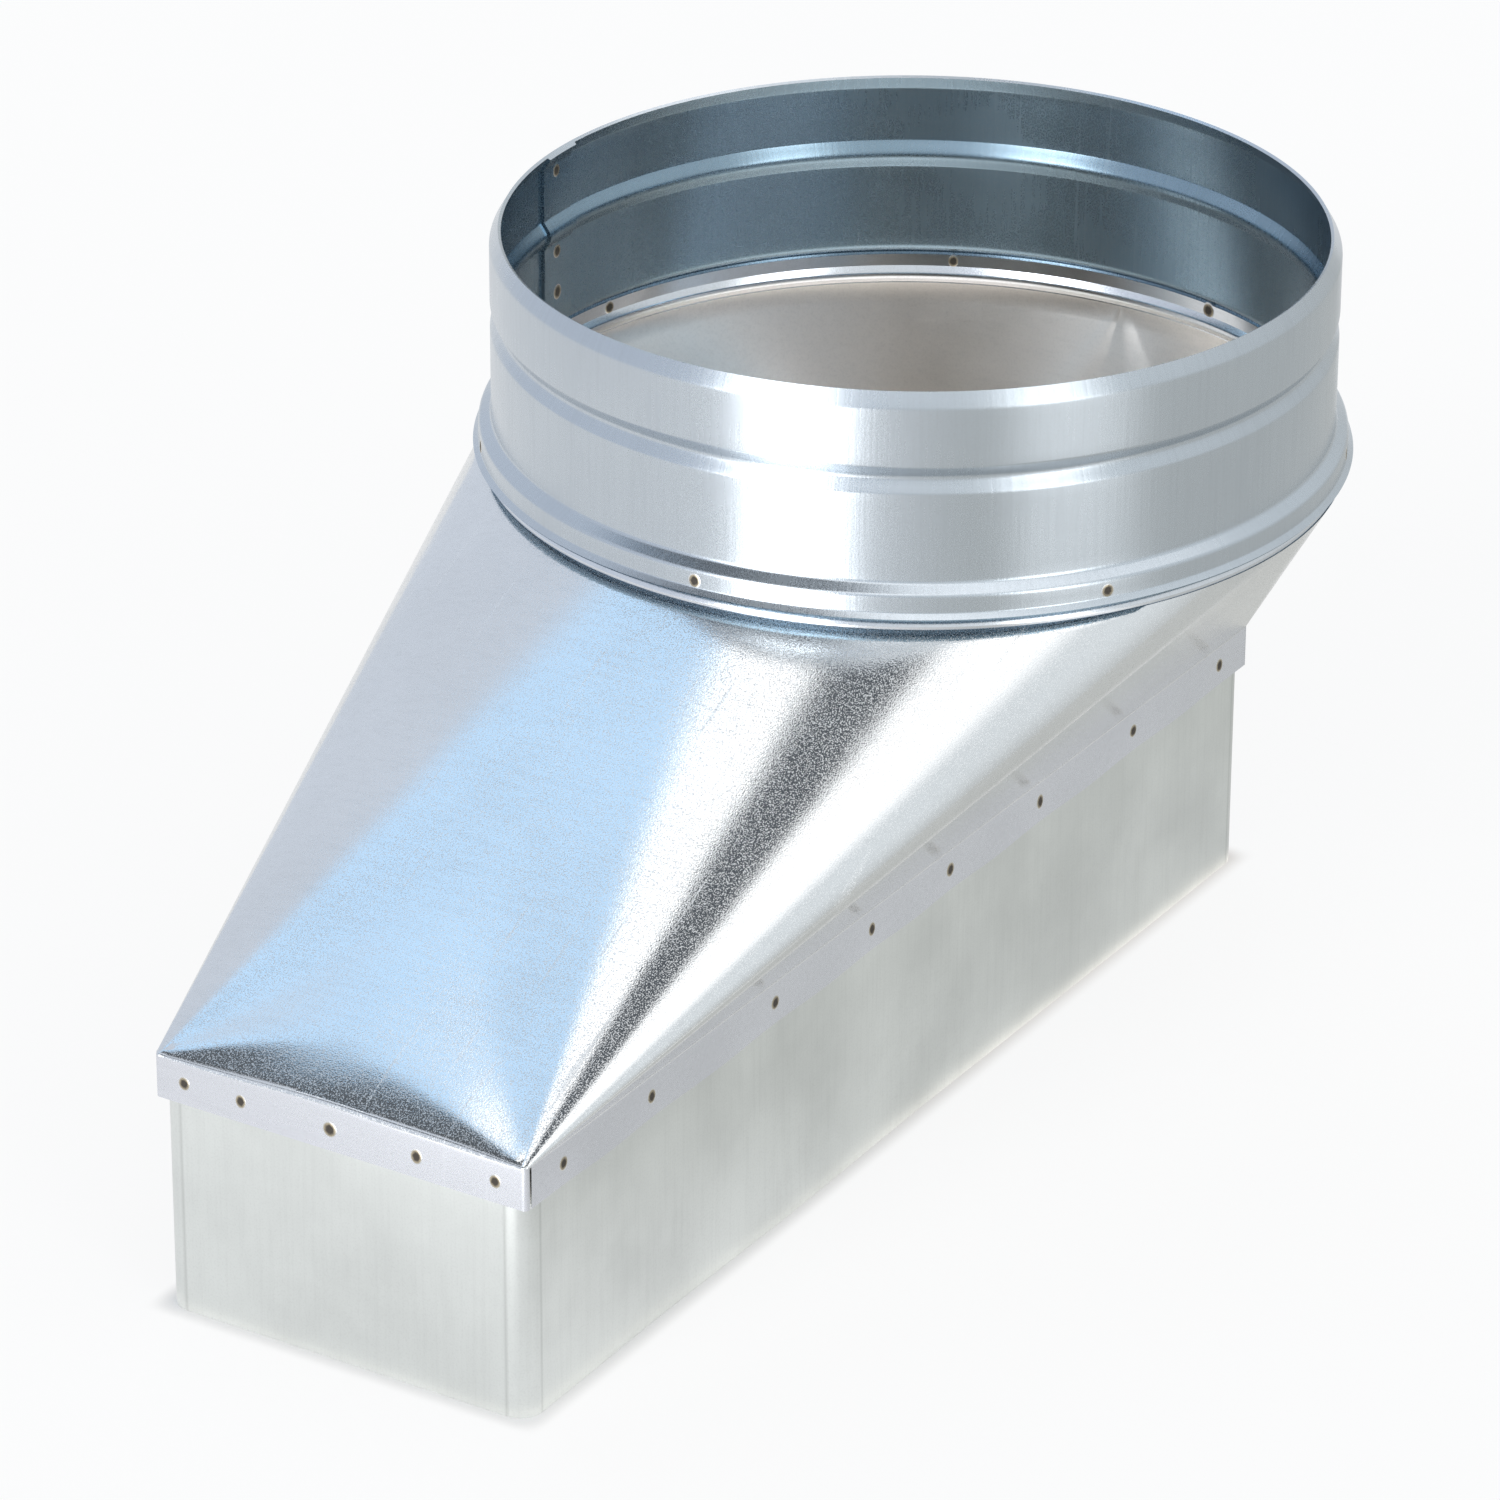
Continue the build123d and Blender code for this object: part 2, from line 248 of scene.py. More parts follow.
def steel(
    name,
    tint,
    roughness,
    grain,
    streak,
    blur=0.0,
    uv_streaks=False,
    fine=3000.0,
    clouds=0.05,
    specks=0.05,
    scratches=0.02,
):
    """Galvanised sheet: bright zinc with a fine speckled grain, rolling streaks, soft clouds and scratches.

    Grain and streak are the heights of the grain and of the rolling streaks in mm. Blur is how much more
    the sheet smears what it mirrors in one direction, and fine is the number of grains in a metre. Clouds,
    specks and scratches are shares: clouds darken it, specks dull it, and scratches whiten and dull it.
    Points with a darkened value are coloured darker.
    """
    made = bpy.data.materials.new(name)
    made.use_nodes = True
    tree = made.node_tree
    tree.nodes.clear()
    spots = add(tree, "ShaderNodeTexCoord")
    here = spots.outputs["Object"]
    speckle = {"Vector": here, "Scale": fine, "Detail": 1.0, "Roughness": 0.5}
    speckle = add(tree, "ShaderNodeTexNoise", speckle)
    if uv_streaks:
        along = add(tree, "ShaderNodeMapping", {"Vector": spots.outputs["UV"], "Scale": (1.0, 0.035, 1.0)})
    else:
        along = add(tree, "ShaderNodeMapping", {"Vector": here, "Scale": (1.0, 0.07, 1.0)})
    rolled = {"Vector": along.outputs[0], "Scale": 1300.0, "Detail": 3.0, "Roughness": 0.65}
    rolled = add(tree, "ShaderNodeTexNoise", rolled)
    cloud = {"Vector": here, "Scale": 30.0, "Detail": 4.0, "Roughness": 0.55}
    cloud = add(tree, "ShaderNodeTexNoise", cloud)
    mark = add(tree, "ShaderNodeAttribute", attribute_name="darkened").outputs["Fac"]
    dark = tuple(channel * (1 - clouds) for channel in tint)
    streaky = ease(tree, rolled.outputs["Fac"], 0.42, 0.72)
    base = blend_colour(tree, ease(tree, cloud.outputs["Fac"], 0.3, 0.75), (*tint, 1.0), (*dark, 1.0))
    base = blend_colour(tree, calc(tree, "MULTIPLY", streaky, 0.10), base, grey(0.6, tint))
    fleck = calc(tree, "MULTIPLY", ease(tree, speckle.outputs["Fac"], 0.45, 0.75), 0.10)
    base = blend_colour(tree, fleck, base, grey(0.45))
    base = blend_colour(tree, calc(tree, "MULTIPLY", mark, 0.8), base, (0.30, 0.31, 0.30, 1.0))
    dull = calc(tree, "MULTIPLY", ease(tree, cloud.outputs["Fac"], 0.35, 0.8), 0.08)
    dull = calc(tree, "ADD", dull, calc(tree, "MULTIPLY", rolled.outputs["Fac"], 0.08))
    fine_spots = add(tree, "ShaderNodeTexNoise", {"Vector": here, "Scale": 5200.0, "Detail": 0.0})
    specked = ease(tree, fine_spots.outputs["Fac"], 0.50, 0.64)
    dull = calc(tree, "ADD", dull, calc(tree, "MULTIPLY", specked, specks))
    drawn = add(tree, "ShaderNodeMapping", {"Vector": here, "Scale": (0.035, 1.0, 0.035)})
    drawn = add(tree, "ShaderNodeTexNoise", {"Vector": drawn.outputs[0], "Scale": 900.0, "Detail": 1.0})
    scratch = calc(tree, "MULTIPLY", ease(tree, drawn.outputs["Fac"], 0.70, 0.75), scratches)
    base = blend_colour(tree, scratch, base, grey(0.92))
    dull = calc(tree, "ADD", dull, scratch)
    dull = calc(tree, "ADD", dull, roughness - 0.06)
    grain_bump = {"Height": speckle.outputs["Fac"], "Distance": grain * mm, "Strength": 1.0}
    grain_bump = add(tree, "ShaderNodeBump", grain_bump)
    streak_bump = add(
        tree,
        "ShaderNodeBump",
        {
            "Height": rolled.outputs["Fac"],
            "Distance": streak * mm,
            "Strength": 1.0,
            "Normal": grain_bump.outputs[0],
        },
    )
    round_about = add(tree, "ShaderNodeTangent", direction_type="UV_MAP", uv_map="sheet")
    zinc = add(
        tree,
        "ShaderNodeBsdfPrincipled",
        {
            "Base Color": base,
            "Metallic": 1.0,
            "Roughness": dull,
            "Anisotropic": blur,
            "Anisotropic Rotation": 0.25,
            "Tangent": round_about.outputs[0],
            "Normal": streak_bump.outputs[0],
        },
    )
    add(tree, "ShaderNodeOutputMaterial", {"Surface": zinc.outputs[0]})
    return made


def box_path(half_x, half_y, bend, long_stations, short_stations, turns):
    """A rectangle with round corners, anticlockwise from its +X side.

    Each side runs through its stations, which are distances from its first end, and each corner through
    even turns of a quarter circle. It returns the points and the direction that each one faces.
    """
    points = []
    facing = []
    middles = np.array([(1, 1), (-1, 1), (-1, -1), (1, -1)]) * (half_x - bend, half_y - bend)
    for turn in range(4):
        face = turn * np.pi / 2
        out = np.array([np.cos(face), np.sin(face)])
        stations = (short_stations, long_stations)[turn % 2]
        points.append(middles[turn - 1] + bend * out + np.outer(stations, (-out[1], out[0])))
        facing.append(np.full(len(stations), face))
        swept = face + np.pi / 2 * np.arange(turns) / turns
        points.append(middles[turn] + bend * np.column_stack((np.cos(swept), np.sin(swept))))
        facing.append(swept)
    return np.concatenate(points), np.concatenate(facing)


def sheet_piece(name, skin, uv, material, darkened=None, dropped=None, caps=(), linings=()):
    """A closed sheet over a grid of points: rows up its outside and down its inside, columns round it.

    Each face joins a point to its neighbours in the next row and the next column, and the last row and
    column join the first. Points that fall together are merged, and edges sharper than 35 degrees stay
    sharp. A lining is a material, with the first row of faces that it covers and the row that it stops at.
    """
    rows, columns = skin.shape[:2]
    row, column = np.meshgrid(np.arange(rows), np.arange(columns), indexing="ij")
    row_after = (row + 1) % rows
    column_after = (column + 1) % columns
    corners = np.stack(
        (
            row * columns + column,
            row * columns + column_after,
            row_after * columns + column_after,
            row_after * columns + column,
        ),
        axis=-1,
    )
    around, up = uv
    around = np.append(around, around[-1] + (around[-1] - around[-2]))
    up = np.append(up, up[-1])
    uv_corners = np.stack(
        (
            np.stack((around[column], up[row]), axis=-1),
            np.stack((around[column + 1], up[row]), axis=-1),
            np.stack((around[column + 1], up[row + 1]), axis=-1),
            np.stack((around[column], up[row + 1]), axis=-1),
        ),
        axis=2,
    )
    kept = np.ones((rows, columns), bool) if dropped is None else ~dropped
    faces = corners[kept]
    face_uv = uv_corners[kept]
    if len(caps):
        faces = np.concatenate((faces, caps))
        face_uv = np.concatenate((face_uv, np.zeros((len(caps), 4, 2))))
    mesh = bpy.data.meshes.new(name)
    mesh.from_pydata(skin.reshape(-1, 3), [], faces.tolist())
    layer = mesh.uv_layers.new(name="sheet")
    layer.data.foreach_set("uv", face_uv.reshape(-1))
    tone = mesh.attributes.new("darkened", "FLOAT", "POINT")
    if darkened is not None:
        tone.data.foreach_set("value", darkened.reshape(-1).astype(np.float32))
    mesh.materials.append(material)
    covered = np.zeros(len(faces), np.int32)
    for index, (other, first_row, end_row) in enumerate(linings):
        mesh.materials.append(other)
        covered[: kept.sum()][(row[kept] >= first_row) & (row[kept] < end_row)] = index + 1
    mesh.polygons.foreach_set("material_index", covered)
    work = bmesh.new()
    work.from_mesh(mesh)
    bmesh.ops.remove_doubles(work, verts=work.verts, dist=2e-7)
    bmesh.ops.recalc_face_normals(work, faces=work.faces)
    work.to_mesh(mesh)
    work.free()
    mesh.polygons.foreach_set("use_smooth", np.ones(len(mesh.polygons), bool))
    mesh.set_sharp_from_angle(angle=np.radians(35.0))
    piece = bpy.data.objects.new(name, mesh)
    bpy.context.scene.collection.objects.link(piece)
    return piece


def ripple(first, second, seed):
    """Uneven rolling of a sheet: the mean of six sine waves of 25 to 110 mm that cross at odd angles."""
    pick = np.random.default_rng(seed)
    total = 0.0
    for _ in range(6):
        length = pick.uniform(25.0, 110.0) * mm
        lean = pick.uniform(0.0, np.pi)
        shift = pick.uniform(0.0, 2 * np.pi)
        total = total + np.sin(2 * np.pi * (first * np.cos(lean) + second * np.sin(lean)) / length + shift)
    return total / 6


sleeve_tint = (0.83, 0.86, 0.845)
sleeve_steel = steel("sleeve_steel", sleeve_tint, 0.32, 0.002, 0.0007, uv_streaks=True, clouds=0.18)
cut = 0.06 * mm
long_reach = 2 * (half_long - sleeve_bend)
short_reach = 2 * (half_short - sleeve_bend)
line_stations = np.array([0.0, 0.15, 0.35, 0.6]) * mm
lap_stations = long_reach / 2 + np.array([-4.01, -3.99, 3.99, 4.01]) * mm
plain_stations = np.linspace(2 * mm, long_reach - 2 * mm, 84)
last_stations = long_reach - line_stations[:0:-1]
long_stations = np.sort(np.concatenate((line_stations, plain_stations, lap_stations, last_stations)))
short_stations = np.concatenate(
    (line_stations, np.linspace(2 * mm, short_reach - 2 * mm, 26), short_reach - line_stations[:0:-1])
)
path, facing = box_path(half_long, half_short, sleeve_bend, long_stations, short_stations, 12)
out = np.column_stack((np.cos(facing), np.sin(facing)))
wall_z = np.linspace(0.8 * mm, sleeve_top - 0.8 * mm, 22)
wall_z = np.concatenate(([0.0, cut], wall_z, [sleeve_top - cut, sleeve_top]))
wall_in = np.concatenate(([cut], np.zeros(len(wall_z) - 2), [cut]))
lapped = (abs(path[:, 0]) < sleeve_lap / 2) & (path[:, 1] > half_short - 0.1 * mm)
wall_depth = sheet * (1 + lapped)
depth = np.concatenate((wall_in[:, None] + 0 * wall_depth, wall_depth - wall_in[::-1, None]))
level_z = np.concatenate((wall_z, wall_z[::-1]))
walk = np.concatenate(([0.0], np.cumsum(np.hypot(*np.diff(path, axis=0).T))))
# The wall bows in and out below the flange, and least beside the bends
bow = 0.35 * mm
fade = np.clip((31.0 * mm - level_z) / (18.0 * mm), 0.0, 1.0)
on_long_side = abs(abs(path[:, 1]) - half_short) < 0.01 * mm
on_short_side = abs(abs(path[:, 0]) - half_long) < 0.01 * mm
straight = on_long_side | on_short_side
from_bend = np.where(on_long_side, half_long - abs(path[:, 0]), half_short - abs(path[:, 1])) - sleeve_bend
from_bend = np.where(straight, np.clip(from_bend, 0.0, None), 0.0)
calm = np.clip(from_bend / (20.0 * mm), 0.0, 1.0)
wave = bow * ripple(walk[None, :], level_z[:, None], 4) * fade[:, None] * calm[None, :]
shift = wave - depth
sleeve_level = path[None] + shift[..., None] * out[None]
sleeve_rise = np.broadcast_to(level_z[:, None, None], shift.shape + (1,))
sleeve_skin = np.concatenate((sleeve_level, sleeve_rise), axis=2)
bend_line = 0.35 * np.exp(-((from_bend / (0.18 * mm)) ** 2)) * straight
tone = np.broadcast_to(bend_line[None], shift.shape).copy()
sleeve = sheet_piece("sleeve_wall", sleeve_skin, (walk, level_z), sleeve_steel, darkened=tone)
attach(sleeve, "root")
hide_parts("sleeve")

# Hopper: one sheet pressed and rolled from the rectangle to the circle, with a flat triangle on each of its
# four sides and a quarter of a cone at each corner. It is folded down over the sleeve in four tabs, with a
# slit at each end of the long sides.
fold_z = 39.5 * mm
flange_z = 33.0 * mm
slit = 0.45 * mm
ring_x = 50.0 * mm
ring_z = 80.9 * mm
ring_radius = 63.6 * mm
tab_sheet = 0.4 * mm
hopper_tint = (0.80, 0.815, 0.825)
speckled = {"fine": 4400.0, "specks": 0.27, "scratches": 0.14}
hopper_steel = steel("hopper_steel", hopper_tint, 0.07, 0.009, 0.0006, **speckled)
tab_steel = steel("tab_steel", (0.79, 0.81, 0.87), 0.26, 0.003, 0.002)
neck_steel = steel("neck_steel", (0.74, 0.77, 0.81), 0.16, 0.003, 0.002)
# The hopper's inside is the same sheet in a warm, near-white tint: painted light for the warm light that it
# mirrors inside
hopper_inside_painted_warm = steel("hopper_inside_painted_warm", (0.985, 0.94, 0.895), 0.36, 0.004, 0.002)
fold_half_long = half_long + tab_sheet
fold_half_short = half_short + tab_sheet
corner_bend = 0.8 * mm
fold_long = 2 * (fold_half_long - corner_bend)
fold_short = 2 * (fold_half_short - corner_bend)
long_columns = np.concatenate(([0.0], np.linspace(slit, fold_long - slit, 72)))
short_columns = np.linspace(0.0, fold_short, 46, endpoint=False)
corner_turns = 62
foot, facing = box_path(
    fold_half_long, fold_half_short, corner_bend, long_columns, short_columns, corner_turns
)
columns = len(foot)
level_out = np.column_stack((np.cos(facing), np.sin(facing), np.zeros(columns)))
level_along = np.column_stack((-np.sin(facing), np.cos(facing), np.zeros(columns)))
upward = np.array([0.0, 0.0, 1.0])
short_side = abs(abs(np.cos(facing)) - 1) < 1e-9
long_side = abs(abs(np.sin(facing)) - 1) < 1e-9
corner = ~short_side & ~long_side
from_corner = np.where(short_side, fold_half_short - abs(foot[:, 1]), fold_half_long - abs(foot[:, 0]))
from_corner = np.clip(from_corner, 0.0, None)
# The short fold rises a little between its corners, as the sum of two bell curves of y
near_rise = 0.35 * mm * np.exp(-(((foot[:, 1] + 17.5 * mm) / (11.0 * mm)) ** 2))
middle_rise = 0.6 * mm * np.exp(-(((foot[:, 1] - 3.0 * mm) / (13.0 * mm)) ** 2))
off_corner = 1 - np.exp(-((from_corner / (8.0 * mm)) ** 1.5))
lift = np.where(short_side, (near_rise + middle_rise) * off_corner, 0.0)
foot3 = np.column_stack((foot, np.full(columns, fold_z)))
# Each flat triangle ends at the ring in a stretch of 0.012 radians to each side, instead of in one point
apex_spread = 0.012
lengthways = foot[:, 1] / half_short * np.cos(facing) * short_side
crossways = foot[:, 0] / half_long * np.sin(facing) * long_side
crown_facing = facing + apex_spread * (lengthways - crossways)
crown_out = np.column_stack((np.cos(crown_facing), np.sin(crown_facing)))
crown = np.array((ring_x, 0.0)) + ring_radius * crown_out
crown = np.column_stack((crown, np.full(columns, ring_z)))
slope = crown - foot3
reach = np.linalg.norm(slope, axis=1)
slope = slope / reach[:, None]
facing_out = np.cross(level_along, slope)
lean = np.arctan2(facing_out[:, 2], (facing_out * level_out).sum(1))
# The fold is rounded by 0.4 mm at the corners, and by 0.9 mm from 10 mm away from them
fold_radius = (0.4 + 0.5 * np.clip(from_corner / (10 * mm), 0, 1)) * mm * np.sign(lean)
fold_back = fold_radius * np.tan(lean / 2)
fold_centre = foot3 - fold_radius[:, None] * level_out - fold_back[:, None] * upward
flange_rows = 12
fold_rows = 9
slope_rows = 64
lift_fades = 10.0 * mm
outer = []
normals = []
way_up = []
for part in np.linspace(0.0, 1.0, flange_rows):
    rise = flange_z + (fold_z + lift - fold_back - flange_z) * part
    outer.append(np.column_stack((foot, rise)))
    normals.append(level_out)
    way_up.append(rise.mean() - fold_z)
for part in np.linspace(0.0, 1.0, fold_rows + 2)[1:-1]:
    angle = lean * part
    turned = np.cos(angle)[:, None] * level_out + np.sin(angle)[:, None] * upward
    outer.append(fold_centre + fold_radius[:, None] * turned + lift[:, None] * upward)
    normals.append(turned)
    way_up.append(0.3 * mm * part)
# The rows of the slope lie closer together near the fold
even = np.linspace(0.0, 1.0, slope_rows)
for part in 0.35 * even + 0.65 * even**2:
    run = abs(fold_back) + (reach - abs(fold_back)) * part
    raised = lift * np.exp(-((run / lift_fades) ** 2))
    outer.append(foot3 + slope * run[:, None] + raised[:, None] * upward)
    normals.append(facing_out)
    way_up.append(0.5 * mm + 70 * mm * part)
outer = np.array(outer)
normals = np.array(normals)


def soft_turn(past, width):
    """Nothing before a turn and the way past it after, rounded: width * log(1 + exp(past / width))."""
    return width * np.logaddexp(0.0, past / width)


# Just above the short fold the sheet swells out, by 0.085 of the way up to the top of a band. The band is
# highest at crest_y and sinks towards the corners. Over the next 2.7 of its heights the sheet sinks back.
swell_out = 0.085
sink_back = 0.0315
sink_heights = 2.7
crest_y = 6.0 * mm
band_height = 10.6 * mm
from_fold = np.linalg.norm(outer - foot3[None], axis=2)
climbed = np.clip(from_fold / reach[None], 0.0, 1.0)
on_slope = np.zeros(len(outer))
on_slope[flange_rows + fold_rows :] = 1.0
near_share = (fold_half_short + foot[:, 1]) / (fold_half_short + crest_y)
far_share = (fold_half_short - foot[:, 1]) / (fold_half_short - crest_y)
band_share = 1 - (1 - np.clip(np.minimum(near_share, far_share), 0.0, 1.0)) ** 1.4
band_top = 0.1 * mm + band_height * band_share * short_side
heights = from_fold / band_top
rising = heights - soft_turn(heights - 1, 0.12)
sinking = soft_turn(heights - 1, 0.25) - soft_turn(heights - 1 - sink_heights, 0.6)
swell = band_top * (swell_out * rising - sink_back * sinking) * short_side * on_slope[:, None]
dent_depth = 0.05 * mm
dents = ripple(outer[..., 0] + 0.3 * outer[..., 2], outer[..., 1] + 0.4 * outer[..., 2], 11)
dents = dent_depth * dents * (4 * climbed * (1 - climbed)) * on_slope[:, None]
outer = outer + normals * (swell + dents)[..., None]
inner = outer - normals * tab_sheet
# Below the fold the long tabs stand a little away from the sleeve between their spot welds
stand_off = 0.32 * mm
weld_z = 36.25 * mm
short_welds = 50.8 * mm * (np.array((0.0, 0.185, 0.474, 0.751, 1.0)) - 0.5)
long_welds = 182.8 * mm * (np.array((0.0, 0.12, 0.295, 0.438, 0.558, 0.7, 0.853, 1.0)) - 0.5)
between = np.interp(foot[:, 0], long_welds, np.arange(len(long_welds)))
off = np.where(long_side, stand_off * np.sin(np.pi * between) ** 2, 0.0)
for index in range(flange_rows):
    below = 1 - index / (flange_rows - 1)
    for face in (outer, inner):
        face[index] = face[index] + level_out * (off * below**1.5)[:, None]


# Neck: the hopper's top edge turned up, with a cove that shows below the belt of the spigot
def rolled_profile(points, bends, turn_step=0.2):
    """A line of (radius, height) with each inner corner rounded: the arc starts bend * tan(turn / 2) away.

    Straight stretches get a point every 1.5 mm or less.
    """
    points = np.array(points)
    line = [points[0]]
    for before, here, after, bend in zip(points, points[1:], points[2:], bends):
        enter = (here - before) / np.hypot(*(here - before))
        leave = (after - here) / np.hypot(*(after - here))
        turn = np.arctan2(enter[0] * leave[1] - enter[1] * leave[0], enter @ leave)
        start = here - enter * bend * np.tan(abs(turn) / 2)
        toward_middle = np.array((-enter[1], enter[0])) * np.sign(turn)
        middle = start + toward_middle * bend
        for angle in np.linspace(0.0, turn, max(3, int(abs(turn) / turn_step) + 2)):
            swung_out = -toward_middle[0] * np.cos(angle) + toward_middle[1] * np.sin(angle)
            swung_up = -toward_middle[0] * np.sin(angle) - toward_middle[1] * np.cos(angle)
            line.append(middle + np.array((swung_out, swung_up)) * bend)
    line = np.array([*line, points[-1]])
    walked = np.concatenate(([0.0], np.cumsum(np.hypot(*np.diff(line, axis=0).T))))
    between = [
        np.linspace(first, last, int((last - first) / (1.5 * mm)) + 1, endpoint=False)
        for first, last in zip(walked, walked[1:])
    ]
    places = np.append(np.concatenate(between), walked[-1])
    return np.column_stack([np.interp(places, walked, line[:, place]) for place in range(2)])


def inward(line):
    """The line's unit normals towards the axis, each at right angles to the way between its neighbours."""
    along = np.gradient(line, axis=0)
    along = along / np.hypot(*along.T)[:, None]
    return np.column_stack((-along[:, 1], along[:, 0]))


neck_radius = 63.4 * mm
cove_depth = 0.75 * mm
neck_line = rolled_profile(
    [
        (neck_radius, 80.95 * mm),
        (neck_radius, 81.3 * mm),
        (neck_radius - cove_depth, 82.4 * mm),
        (neck_radius, 83.7 * mm),
        (neck_radius, 85.7 * mm),
    ],
    np.array((0.3, 0.7, 0.3)) * mm,
)
neck_inner = neck_line + inward(neck_line) * sheet


def about_axis(line, turned):
    """Carries a profile round the spigot's axis, in the directions given."""
    ring = line[:, None, 0, None] * turned[None] + np.array((ring_x, 0.0))
    rise = np.broadcast_to(line[:, None, 1, None], ring.shape[:2] + (1,))
    return np.concatenate((ring, rise), axis=2)


# On the inside every second row of the slope is enough
inner_rows = np.r_[0 : flange_rows + fold_rows, flange_rows + fold_rows : len(outer) : 2]
neck_outside = about_axis(neck_line, crown_out)
neck_inside = about_axis(neck_inner[::-1], crown_out)
hopper_skin = np.concatenate((outer, neck_outside, neck_inside, inner[inner_rows][::-1]))
rows = len(hopper_skin)
way_up = np.array(way_up)
neck_up = way_up[-1] + neck_line[:, 1] - neck_line[0, 1]
hopper_up = np.concatenate((way_up, neck_up, neck_up[::-1], way_up[inner_rows][::-1]))
# Up to the fold each long side is cut at both ends. At its first end the slit is 0.45 mm wide, and at the
# other end it is closed up to 0.02 mm. Their cut edges and their ends get faces from outside to inside.
slit_column = long_side & (np.roll(corner, 1) | np.roll(corner, -1))
dropped = np.zeros((rows, columns), bool)
lowest = flange_rows - 1
dropped[:lowest, slit_column] = True
dropped[rows - lowest :, slit_column] = True
caps = []
for start in np.flatnonzero(slit_column):
    end = (start + 1) % columns
    inner_row = rows - flange_rows
    caps.append(
        (
            lowest * columns + start,
            lowest * columns + end,
            inner_row * columns + end,
            inner_row * columns + start,
        )
    )
    for edge in (start, end):
        for index in range(lowest):
            mirrored = rows - 1 - index
            caps.append(
                (
                    index * columns + edge,
                    (index + 1) * columns + edge,
                    (mirrored - 1) * columns + edge,
                    mirrored * columns + edge,
                )
            )
halfway = 0.5 * foot + 0.5 * crown[:, :2]
hopper_uv = (np.concatenate(([0.0], np.cumsum(np.hypot(*np.diff(halfway, axis=0).T)))), hopper_up)
neck_from = len(outer) - 1
lined_from = len(outer) + 2 * len(neck_line) - 1
hopper_linings = [(neck_steel, neck_from, lined_from), (hopper_inside_painted_warm, lined_from, rows)]
hopper_linings.append((tab_steel, 0, flange_rows + 1))
hopper = sheet_piece(
    "hopper_sheet", hopper_skin, hopper_uv, hopper_steel, dropped=dropped, caps=caps, linings=hopper_linings
)
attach(hopper, "root")
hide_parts("transition")

# Spigot: a rolled band for the round duct, with a flared edge and belt over the neck, a stiffening bead
# pressed inwards, and a lip drawn in at the rim. Its ends overlap by 8 mm on the far side.
tube_radius = 62.0 * mm
belt_radius = 63.9 * mm
flare = 0.8 * mm
bead_depth = 1.3 * mm
lip_draw = 1.3 * mm
spigot_line = rolled_profile(
    [
        (belt_radius + flare, 83.0 * mm),
        (belt_radius, 83.7 * mm),
        (belt_radius, 86.3 * mm),
        (tube_radius, 87.5 * mm),
        (tube_radius, 101.0 * mm),
        (tube_radius - bead_depth, 103.0 * mm),
        (tube_radius, 105.0 * mm),
        (tube_radius, 113.8 * mm),
        (tube_radius - lip_draw, 116.0 * mm),
    ],
    np.array((0.3, 0.8, 0.8, 0.8, 0.9, 0.8, 1.2)) * mm,
)
spigot_steel = steel("spigot_steel", (0.575, 0.625, 0.675), 0.27, 0.006, 0.012, blur=0.6, uv_streaks=True)
# The spigot's inside is the same band in a dark blue tint: painted shade inside the duct
spigot_inside_painted_shade = steel("spigot_inside_painted_shade", (0.27, 0.375, 0.46), 0.26, 0.006, 0.012, blur=0.6, uv_streaks=True)
seam_angle = 92.0
lap_angle = 7.4
edge_angle = 0.15
lap_start = np.radians(seam_angle - lap_angle / 2)
lap_end = np.radians(seam_angle + lap_angle / 2)
lap_edges = np.radians((0.0, edge_angle, lap_angle - edge_angle, lap_angle))
around = lap_start + np.sort(np.concatenate((lap_edges, np.linspace(0.0, 2 * np.pi, 481)[1:-1])))
spokes = np.column_stack((np.cos(around), np.sin(around)))
in_lap = (around > lap_start + np.radians(0.1)) & (around < lap_end - np.radians(0.1))
lap_foot = 88.0 * mm
above_shoulder = np.clip((spigot_line[:, 1] - lap_foot) / (0.05 * mm), 0.0, 1.0)
second_layer = above_shoulder[:, None] * in_lap[None]
step = inward(spigot_line) * sheet
spigot_outer = about_axis(spigot_line, spokes)
spigot_single = about_axis(spigot_line + step, spokes)
spigot_double = about_axis(spigot_line + 2 * step, spokes)
spigot_inside = spigot_single + (spigot_double - spigot_single) * second_layer[..., None]
spigot_skin = np.concatenate((spigot_outer, spigot_inside[::-1]))
spigot_uv = (around * tube_radius, np.concatenate((spigot_line[:, 1], spigot_line[::-1, 1])))
spigot_linings = [(spigot_inside_painted_shade, len(spigot_line), len(spigot_skin))]
spigot = sheet_piece("spigot_band", spigot_skin, spigot_uv, spigot_steel, linings=spigot_linings)
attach(spigot, "root")
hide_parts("spigot")

# Spot welds: where the electrodes pressed two sheets together they left small scorched dimples, each with a
# low ring round it. They hold the tabs to the sleeve, the belt to the neck, and the two lapped seams.


